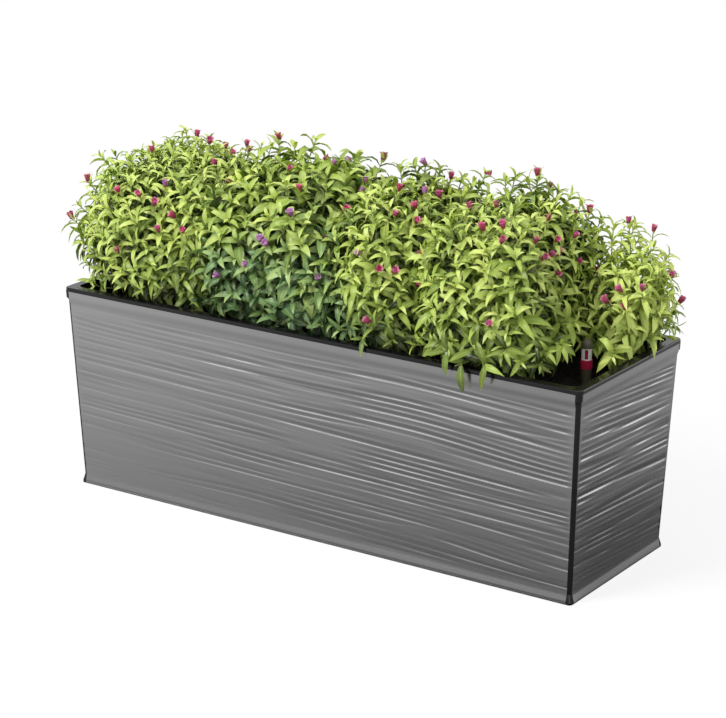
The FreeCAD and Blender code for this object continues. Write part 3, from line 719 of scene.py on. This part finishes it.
def make_crumbs(material):
    """Loose bark and peat crumbs over the soil's surface."""
    rng = np.random.default_rng(21)
    centres = np.stack([*(rng.uniform(-half, half, CRUMBS) for half in SOIL_HALF), np.full(CRUMBS, SOIL_TOP)], 1)
    clear_of_gauge = np.hypot(centres[:, 0] - GAUGE_X, centres[:, 1]) > CRUMB_GAUGE_GAP
    corner = np.maximum(np.abs(centres[:, :2]) - (np.array(SOIL_HALF) - SOIL_CORNER), 0)
    in_corner = np.hypot(corner[:, 0], corner[:, 1]) > CRUMB_CORNER
    centres = centres[clear_of_gauge & ~in_corner]
    count = len(centres)
    sizes = np.stack([rng.uniform(*span, count) for span in ((0.8, 3.2), (0.6, 1.6), (0.4, 1.1))], 1)
    shapes = CUBE[None] * sizes[:, None] * rng.uniform(0.55, 1.0, (count, 8, 3))
    turn = rng.uniform(0, 2 * np.pi, count)[:, None]
    tilt = rng.normal(0, 0.35, count)[:, None]
    x, z = turn_pair(shapes[:, :, 0], shapes[:, :, 2], np.cos(tilt), np.sin(tilt))
    x, y = turn_pair(x, shapes[:, :, 1], np.cos(turn), np.sin(turn))
    points = np.stack([x, y, z], 2) + centres[:, None]
    quads = (CUBE_FACES[None] + (np.arange(count) * 8)[:, None, None]).reshape(-1, 4)
    mesh = make_mesh("soil_crumbs", points.reshape(-1, 3), [quads])
    add_piece("soil_crumbs", mesh, material, "liner")


# Plants

# Tips on a plant's surface: tries for each, least upward share of its way, least height in mm
TIP_TRIES = 14
LEAST_UPWARD = -0.5
LOWEST_TIP = 186
NEIGHBOURS = list(product((-1, 0, 1), repeat=3))
# How far leaves keep off the rim, the opening's edge, the gauge up to a height, and the soil, in mm
RIM_GAP = 1.5
ABOVE_RIM = 1.2
OPENING_GAP = 1
GAUGE_GAP = 8
GAUGE_CLEAR_TOP = 197
SOIL_GAP = 4


def surface_of(node):
    """A search tree, the points and the triangles of a CAD node, in mm."""
    mesh = frame["nodes"][node].data
    mesh.calc_loop_triangles()
    points = read_rows(mesh.vertices, "co", 3, np.float32).astype(float) * 1000
    triangles = read_rows(mesh.loop_triangles, "vertices", 3, np.int32)
    return BVHTree.FromPolygons(points.tolist(), triangles.tolist()), points, triangles


def spaced_tips(surface, spacing, taken, rng, shrink, centre):
    """Points about the spacing apart on a surface drawn in towards its middle, each with its outward way."""
    _, points, triangles = surface
    corners = points[triangles]
    sides = corners[:, 1] - corners[:, 0], corners[:, 2] - corners[:, 0]
    normals = np.cross(*sides)
    areas = np.linalg.norm(normals, axis=1) / 2
    wanted = int(areas.sum() / spacing ** 2 * TIP_TRIES)
    picks = rng.choice(len(areas), wanted, p=areas / areas.sum())
    first, second = rng.random((2, wanted))
    flip = first + second > 1
    first[flip], second[flip] = 1 - first[flip], 1 - second[flip]
    spots = corners[picks, 0] + sides[0][picks] * first[:, None] + sides[1][picks] * second[:, None]
    ways = unit(normals[picks])
    usable = (ways[:, 2] > LEAST_UPWARD) & (spots[:, 2] > LOWEST_TIP)
    spots = centre + (spots[usable] - centre) * shrink
    kept, cells = [], {}

    def cell_of(point):
        return tuple(int(value // spacing) for value in point)

    def crowded(point):
        x, y, z = cell_of(point)
        near = (cells.get((x + dx, y + dy, z + dz), ()) for dx, dy, dz in NEIGHBOURS)
        return any(np.linalg.norm(other - point) < spacing for cell in near for other in cell)

    for point in taken:
        cells.setdefault(cell_of(point), []).append(point)
    for point, way in zip(spots, ways[usable]):
        if not crowded(point):
            cells.setdefault(cell_of(point), []).append(point)
            kept.append((point, way))
    return kept


def bezier(controls, share):
    """Points on a cubic curve at an array of shares."""
    share = np.asarray(share)[:, None]
    rest = 1 - share
    first, second, third, fourth = controls
    return rest ** 3 * first + 3 * rest ** 2 * share * second + 3 * rest * share ** 2 * third + share ** 3 * fourth


def blocked(points):
    """True for blades that meet the planter, its gauge or the soil, or reach too far out."""
    x, y, z = np.abs(points[..., 0]), np.abs(points[..., 1]), points[..., 2]
    over_rim = (x < RIM_LENGTH / 2 + RIM_GAP) & (y < RIM_WIDTH / 2 + RIM_GAP)
    in_opening = (x < OPENING_HALF[0] - OPENING_GAP) & (y < OPENING_HALF[1] - OPENING_GAP)
    in_rim = (z < TOTAL_HEIGHT + ABOVE_RIM) & over_rim & ~in_opening
    by_gauge = (np.hypot(points[..., 0] - GAUGE_X, points[..., 1]) < GAUGE_GAP) & (z < GAUGE_CLEAR_TOP)
    outside = (x > REACH_X) | (points[..., 1] < REACH_FRONT) | (points[..., 1] > REACH_BACK)
    return (in_rim | (z < SOIL_TOP + SOIL_GAP) | by_gauge | outside).any(-1)


# Pairs of leaves from a shoot's tip down: distance in mm, share of full length, degrees open at foot and tip
NODES = (
    (1.5, 0.5, 18, 60), (5.0, 0.78, 30, 96), (10.0, 0.95, 42, 124), (16.0, 1.04, 50, 140), (23.0, 1.04, 56, 148),
    (31.0, 1.0, 60, 150), (40.0, 0.92, 64, 150),
)
# A shoot's curve, as shares of its span: its rise and its drift outwards at the foot, its run to the tip
FOOT_RISE = 0.42
FOOT_DRIFT = 0.12
TIP_RUN = 0.36
# How much the outward way of a shoot is turned upwards at its tip
TIP_LIFT = 0.55


def grow_shoot(tip, way, root, habit, rng, pairs, inner, blue):
    """The path of one shoot from the crown to its tip, and the rows of its leaves."""
    way = unit(way + TIP_LIFT * UP)
    span = np.linalg.norm(tip - root)
    foot_way = FOOT_RISE * span * UP + (tip - root) * (FOOT_DRIFT, FOOT_DRIFT, 0)
    path = bezier((root, root + foot_way, tip - way * TIP_RUN * span, tip), np.linspace(0, 1, 28))
    steps = np.linalg.norm(np.diff(path[::-1], axis=0), axis=1)
    from_tip = np.concatenate([[0], np.cumsum(steps)])

    def point_at(distance):
        return np.array([np.interp(distance, from_tip, values) for values in path[::-1].T])

    rows = []
    size = rng.uniform(0.82, 1.16)
    turn = rng.uniform(0, 2 * np.pi)
    shoot_age = habit["age"] + rng.normal(0, 0.16)
    # Painted shade: leaves low on a plant and on inner shoots get a darker, older tone
    shade = 0.36 * (1 - ease(185, 235, tip[2])) + (5.5 * habit["aging"] if inner else 0)
    for node, (distance, share, open_foot, open_tip) in enumerate(NODES[:pairs]):
        place = point_at(distance * size)
        axis_way = unit(place - point_at(distance * size + 3))
        reference = (1.0, 0, 0) if abs(axis_way[0]) < 0.8 else (0, 1.0, 0)
        first = unit(np.cross(axis_way, reference))
        second = np.cross(axis_way, first)
        for opposite in (0, 1):
            angle = turn + node * np.pi / 2 + opposite * np.pi + rng.normal(0, 0.2)
            length = habit["leaf"] * share * size * rng.uniform(0.88, 1.12)
            age = min(1, habit["aging"] * node + shoot_age + shade + rng.normal(0, 0.12))
            rows.append(blade_row(
                place, axis_way, between(first, second, angle), length,
                width=length * habit["broad"] * rng.uniform(0.85, 1.15),
                start=open_foot + rng.normal(0, 6), end=open_tip + rng.normal(0, 18),
                droop=0.3 + 0.13 * node + rng.uniform(0, 0.4), fold=rng.uniform(0.2, 0.55),
                twist=rng.normal(0, 0.45), thickness=0.45, tone=max(0, age), blue=blue,
            ))
    return path, rows


def blueness(number, spot, rng):
    """How blue-green one shoot is: most of the second plant, and the low left side of the third."""
    share, chance, most = 0, 0.12, 1
    if number == BLUE_PLANT:
        share, chance = 1 - ease(225, 285, spot[2]), 0.2
    elif number == HALF_BLUE_PLANT:
        share, chance, most = 1.2 - ease(10, 70, spot[0]) - ease(200, 250, spot[2]), 0.15, 0.8
    return float(np.clip(share + rng.normal(0, chance), 0, most))


# A flower in mm: place along its way and radius of each ring of its tube
TUBE_LENGTHS = np.array((0.0, 0.9, 2.4, 3.9, 4.6))
TUBE_RADII = np.array((0.8, 1.7, 1.9, 2.3, 2.6))
TUBE_SIDES = 8
PETALS = 6


def flower_parts(tip, way, hue, rng):
    """A small tubular flower on a shoot's tip: tube rings, then petal rows."""
    way = unit(way + rng.normal(0, 0.3, 3) + 0.1 * UP)
    size = rng.uniform(0.85, 1.15)
    lengths = TUBE_LENGTHS * size
    rings = tube_rings(tip + way * (lengths[:, None] - 1.0), TUBE_RADII * size, TUBE_SIDES)
    mouth = tip + way * (lengths[-1] - 1.8)
    first = unit(np.cross(way, (0.31, 0.2, 0.93)))
    second = np.cross(way, first)
    rows = []
    for petal in range(PETALS):
        outward = between(first, second, petal * np.pi / 3 + rng.normal(0, 0.12))
        rows.append(blade_row(
            mouth + outward * 1.5 * size, way, outward,
            length=rng.uniform(2.6, 3.4) * size, width=rng.uniform(2.7, 3.3) * size,
            start=rng.uniform(0, 25), end=rng.uniform(30, 75), droop=0.05, fold=rng.uniform(0.0, 0.3),
            twist=rng.normal(0, 0.2), thickness=0.4, tone=hue,
        ))
    return rings, rows


MARKS = {"red": RED_FLOWERS, "lilac": LILAC_FLOWERS, "shoot": OUTLINE_SHOOTS, "thin": THIN_SHOOTS}
# Distances in mm at which a ray that misses a plant is searched, and how far off a tip may stand
SEARCH_DISTANCES = np.arange(1700, 2500, 8)
FARTHEST_GAP = 40
# How far the photo's flowers stand in front of the leaves, in mm
FLOWER_LIFT = 9.0


def meet_plants(eye, ray):
    """Where a ray meets the plants or comes nearest to them: (gap, distance, point, outward way, plant)."""
    found = []
    for plant, (tree, _, _) in enumerate(surfaces):
        spot, normal, _, distance = tree.ray_cast(eye, ray)
        if spot is not None:
            found.append((0, distance, spot, normal, plant))
            continue
        for distance in SEARCH_DISTANCES:
            spot = eye + ray * float(distance)
            _, normal, _, gap = tree.find_nearest(spot)
            found.append((gap, distance, spot, normal, plant))
    return min(found, key=lambda place: place[:2])


def seen_tips():
    """Where the photo shows flowers and shoot tips: (kind, point, outward way, plant) of each."""
    eye = Vector(CAMERA_PLACE)
    found = []
    for kind, pixel in ((kind, pixel) for kind, pixels in MARKS.items() for pixel in pixels):
        ray = pixel_ray(pixel)
        gap, _, spot, normal, plant = meet_plants(eye, ray)
        if gap == 0 and kind in ("red", "lilac"):
            spot = spot - ray * FLOWER_LIFT
        if gap < FARTHEST_GAP:
            found.append((kind, np.array(spot), np.array(normal), plant))
    for x, y, height in LOW_SHOOTS:
        ray = pixel_ray((x, y))
        spot = eye + ray * max((height - eye.z) / ray.z, (LOW_SHOOT_FRONT - eye.y) / ray.y)
        plant = int(np.argmin([tree.find_nearest(spot)[3] for tree, _, _ in surfaces]))
        away = np.array(spot) - roots[plant]
        away[2] = 0
        found.append(("low", np.array(spot), unit(away), plant))
    return found


# How far each kind of tip stands behind its mark or the plant's surface in mm, and its pairs of leaves
TIP_KINDS = {
    "red": (4, 7), "lilac": (4, 7), "shoot": (1, 7), "thin": (-1, 5), "low": (0, 6), "outer": (-2, 6),
    "inner": (0, 4),
}
MIDDLE_HEIGHT = 60.0
MOST_LEAVES = 6200
# Share of the unmarked tips that flower, and how much a shoot's way turns up, or down for the low ones
FLOWERING = 0.08
SHOOT_TURN = 0.35


def make_plant(number, tips, materials):
    """Leaves, stems and flowers of one plant as three pieces."""
    habit = dict(zip(HABIT, PLANT_HABITS[number]))
    rng = np.random.default_rng(100 + number)
    surface, root = surfaces[number], roots[number]
    centre = root + MIDDLE_HEIGHT * UP
    airy, blue = number == AIRY_PLANT, number == BLUE_PLANT
    shoots = []

    def add_shoot(spot, normal, kind, place):
        inset, pairs = TIP_KINDS[place]
        shoots.append((spot - normal * inset, normal, kind, pairs))

    for kind, spot, normal, _ in tips:
        add_shoot(spot, normal, kind, kind)
    taken = [shoot[0] for shoot in shoots]
    for spot, normal in spaced_tips(surface, habit["spacing"], taken, rng, 0.96 if airy else 1.0, centre):
        kind = "leafy"
        if rng.random() < FLOWERING and normal[1] > -0.1:
            kind = "lilac" if blue else "red"
        add_shoot(spot, normal, kind, "outer")
    inner_spacing = habit["spacing"] * (1.2 if airy else 0.95)
    for spot, normal in spaced_tips(surface, inner_spacing, [], rng, 0.9, centre):
        add_shoot(spot, normal, "inner", "inner")
    rows, stems, flowers = [], [], []
    for spot, normal, kind, pairs in shoots:
        foot = root + rng.uniform((-5, -5, 0), (5, 5, 6))
        way = normal + (-SHOOT_TURN if kind == "low" else SHOOT_TURN) * UP
        hue = blueness(number, spot, rng)
        path, leaf_rows = grow_shoot(spot, way, foot, habit, rng, pairs, kind == "inner", hue)
        rows += leaf_rows
        stems.append(path)
        if kind in ("red", "lilac"):
            way = unit(path[-1] - path[-2])
            hue = 1.0 if kind == "lilac" else rng.uniform(0, 0.25)
            flowers.append(flower_parts(path[-1] + way * 2, way, hue, rng))
    free = ~blocked(blades(rows, "leaf")[0].reshape(-1, LEAF_POINTS, 3))
    order = rng.permutation(np.flatnonzero(free))[:MOST_LEAVES]
    points, quads, triangles, values = blades(np.asarray(rows)[np.sort(order)], "leaf")
    name = str(number + 1)
    mesh = make_mesh("leaves_" + name, points, [quads, triangles])
    for key, numbers in values.items():
        set_float(mesh, key, numbers)
    shade_smooth(mesh)
    crease_margins(mesh, len(points))
    add_piece("leafy_shoots_" + name, mesh, materials["leaf"], "liner", ("plant_leaves_" + name,))
    make_stems(name, root, stems, materials["stem"], rng)
    make_flowers(name, flowers, materials["petal"])


# The crown of a plant in mm: heights of its rings over the soil, and their radii
CROWN_HEIGHTS = (-1.0, 3.0, 8.0, 12.0)
CROWN_RADII = (8.0, 7.0, 5.5, 3.0)
STEM_RINGS = 12
STEM_SIDES = 5


def make_stems(name, root, paths, material, rng):
    """The crown and every shoot's stem as one piece."""
    tubes = [tube_rings([root + height * UP for height in CROWN_HEIGHTS], CROWN_RADII, STEM_SIDES)]
    for path in paths:
        picks = path[np.linspace(0, len(path) - 1, STEM_RINGS).astype(int)]
        tubes.append(tube_rings(picks, np.linspace(rng.uniform(1.1, 1.6), 0.45, STEM_RINGS), STEM_SIDES))
    points, quads, caps = join_tubes(tubes)
    mesh = make_mesh("stems_" + name, points, [quads, caps])
    along = np.concatenate([np.zeros(len(CROWN_HEIGHTS)), np.tile(np.linspace(0, 1, STEM_RINGS), len(paths))])
    set_float(mesh, "along", np.repeat(along, STEM_SIDES))
    shade_smooth(mesh)
    add_piece("woody_stems_" + name, mesh, material, "liner", ("plant_stems_" + name,))


def make_flowers(name, flowers, material):
    """All the flowers of one plant as one piece."""
    points, quads, triangles, values = blades([row for _, rows in flowers for row in rows], "petal")
    tube_points, tube_quads, caps = join_tubes([rings for rings, _ in flowers], len(points))
    blocks = [quads, tube_quads, triangles, caps]
    mesh = make_mesh("flowers_" + name, np.concatenate([points, tube_points]), blocks)
    tube_along = np.repeat(np.linspace(0, 0.5, len(TUBE_LENGTHS)), TUBE_SIDES)
    set_float(mesh, "along", np.concatenate([0.4 + 0.6 * values["along"], np.tile(tube_along, len(flowers))]))
    tube_hues = np.repeat(values["tone"][::LEAF_POINTS * PETALS], len(tube_along))
    set_float(mesh, "hue", np.concatenate([values["tone"], tube_hues]))
    shade_smooth(mesh)
    crease_margins(mesh, len(points))
    add_piece("bell_flowers_" + name, mesh, material, "liner", ("plant_flowers_" + name,))


# Stage and light

# Centre of the painted shade on the floor that the planter mirrors, in m, and the distances from there over which
# it brightens
MIRRORED_PAINTED_SHADE = (0.25, 0.02, 0.0)
MIRRORED_RAMP = (0.09, 0.98)
# The floor's half length and thickness, in mm
FLOOR_HALF = 30000.0
FLOOR_THICKNESS = 20.0
# Brightness of the studio's dome at rising heights: (upward share of the direction, brightness)
DOME_SHADES = ((0.0, 0.4), (0.15, 0.4), (0.5, 0.55), (1.0, 0.65))
# The lights: name, place and size in m, power in W. All point at the target.
LIGHT_TARGET = (0, 0, 0.15)
LIGHTS = (
    ("key", (-0.9, -2.0, 2.3), (1.1, 1.1), 72),
    ("strip_left", (-1.5, -2.4, 0.6), (1.6, 0.35), 3.0),
    ("top", (0.3, 0.2, 2.5), (1.6, 1.6), 14),
    ("strip_right", (1.7, 2.2, 0.45), (1.4, 0.35), 3.5),
    ("front_fill", (1.9, -2.0, 1.0), (1.2, 1.2), 11),
)


def white_stage():
    """A white floor that keeps the planter's shadow, with painted shade close by the planter where the planter
    mirrors it.
    """
    shader = new_shader("white_floor")
    path = shader.add("LightPath")
    from_camera = path.outputs["Is Camera Ray"]
    plain = shader.add("Emission", {"Color": WHITE, "Strength": 1.0})
    matt = shader.add("BsdfDiffuse", {"Color": shader.mix(from_camera, FLOOR_LIT, FLOOR_SEEN)})
    place = shader.add("TexCoord").outputs["Object"]
    beside = shader.add("VectorMath", {0: place, 1: MIRRORED_PAINTED_SHADE}, operation="DISTANCE").outputs["Value"]
    drawn_in = shader.add("Mapping", {"Vector": place, "Scale": (0.4, 1, 1)}).outputs["Vector"]
    distance = shader.add("VectorMath", {0: drawn_in}, operation="LENGTH").outputs["Value"]
    # Painted shade: mirrored views see the floor's darker lit colour close by the planter and white farther off
    mirrored = shader.spread(beside, 0.0, 1.0, *MIRRORED_RAMP)
    direct = shader.spread(distance, 0.8, 1.0, 0.2, 0.8)
    bright = shader.math("MULTIPLY", shader.shown(path), shader.spread(from_camera, mirrored, direct))
    shader.cover(bright, matt, plain)
    points = CUBE * (FLOOR_HALF, FLOOR_HALF, FLOOR_THICKNESS / 2) - FLOOR_THICKNESS / 2 * UP
    mesh = make_mesh("floor", points, [CUBE_FACES])
    mesh.materials.append(shader.owner)
    floor = add_object("floor", mesh)


def light_world():
    """A dome of soft light, white behind everything that the camera sees."""
    world = bpy.data.worlds.new("studio")
    bpy.context.scene.world = world
    shader = Shader(world)
    way = shader.add("TexCoord").outputs["Generated"]
    height = shader.add("SeparateXYZ", {0: way}).outputs["Z"]
    shader.finish(Color=shader.ramp(height, [(level, (shade,) * 3) for level, shade in DOME_SHADES]), Strength=1.0)
    white = shader.add("Background", {"Color": WHITE, "Strength": 1.0})
    shader.cover(shader.shown(shader.add("LightPath")), shader.main, white)


def light_studio():
    for name, place, size, power in LIGHTS:
        data = bpy.data.lights.new(name, "AREA")
        data.shape = "RECTANGLE"
        data.size, data.size_y = size
        data.energy = power
        light = add_object(name, data)
        light.location = place
        light.rotation_euler = (Vector(LIGHT_TARGET) - Vector(place)).to_track_quat("-Z", "Y").to_euler()


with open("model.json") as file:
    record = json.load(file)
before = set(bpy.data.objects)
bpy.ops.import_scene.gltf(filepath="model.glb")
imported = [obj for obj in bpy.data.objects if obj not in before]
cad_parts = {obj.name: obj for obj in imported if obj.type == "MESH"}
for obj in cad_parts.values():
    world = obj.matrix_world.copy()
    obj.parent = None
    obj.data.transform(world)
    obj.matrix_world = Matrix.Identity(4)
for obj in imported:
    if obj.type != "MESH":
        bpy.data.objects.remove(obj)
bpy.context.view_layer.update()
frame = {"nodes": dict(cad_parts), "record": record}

lacquer = panel_material()
earth = soil_material("earth", (0.006, 0.005, 0.004), (0.035, 0.025, 0.018), (0.07, 0.045, 0.028))
materials = {"leaf": leaf_material(), "petal": petal_material(), "stem": stem_material()}
finishes = {
    "casing": plastic("satin_black", (0.004, 0.004, 0.0045), (0.008, 0.008, 0.0085), (0.13, 0.22), specular=0.3),
    "tray": plastic("matt_black", (0.022,) * 3, (0.036,) * 3, (0.5, 0.62)),
    "gauge_red": plastic("gauge_red", (0.4, 0.012, 0.05), (0.5, 0.02, 0.07), (0.22, 0.32), bump=0.05),
    "gauge_white": plastic("gauge_white", (0.8, 0.77, 0.74), (0.88, 0.86, 0.83), (0.25, 0.35), bump=0.05),
    "gauge_dark": plastic("gauge_olive", (0.055, 0.05, 0.03), (0.085, 0.075, 0.045), (0.45, 0.6)),
    "roots": soil_material("matted_roots", (0.02, 0.014, 0.01), (0.07, 0.05, 0.033), (0.16, 0.12, 0.08)),
    "soil": earth, "panel": lacquer, "stems": materials["stem"],
}
finishes["liner"] = finishes["casing"]
finishes["leaves"] = finishes["leaves_blue"] = materials["leaf"]
finishes["flowers_red"] = finishes["flowers_lilac"] = materials["petal"]
for part in frame["record"]["subparts"]:
    for place in frame["nodes"][part["node"]].material_slots:
        place.material = finishes[part["material_slot"]]

surfaces = [surface_of("plant_leaves_" + str(number + 1)) for number in range(len(PLANT_HABITS))]
roots = []
for number in range(len(PLANT_HABITS)):
    low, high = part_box("root_ball_" + str(number + 1))
    roots.append(np.array(((low[0] + high[0]) * 500, (low[1] + high[1]) * 500, SOIL_TOP)))

make_panels(lacquer)
make_crumbs(earth)
tips = seen_tips()
for number in range(len(PLANT_HABITS)):
    make_plant(number, [tip for tip in tips if tip[3] == number], materials)
white_stage()
light_world()
light_studio()
make_camera()

bpy.context.scene.view_settings.view_transform = "Standard"
bpy.context.view_layer.update()
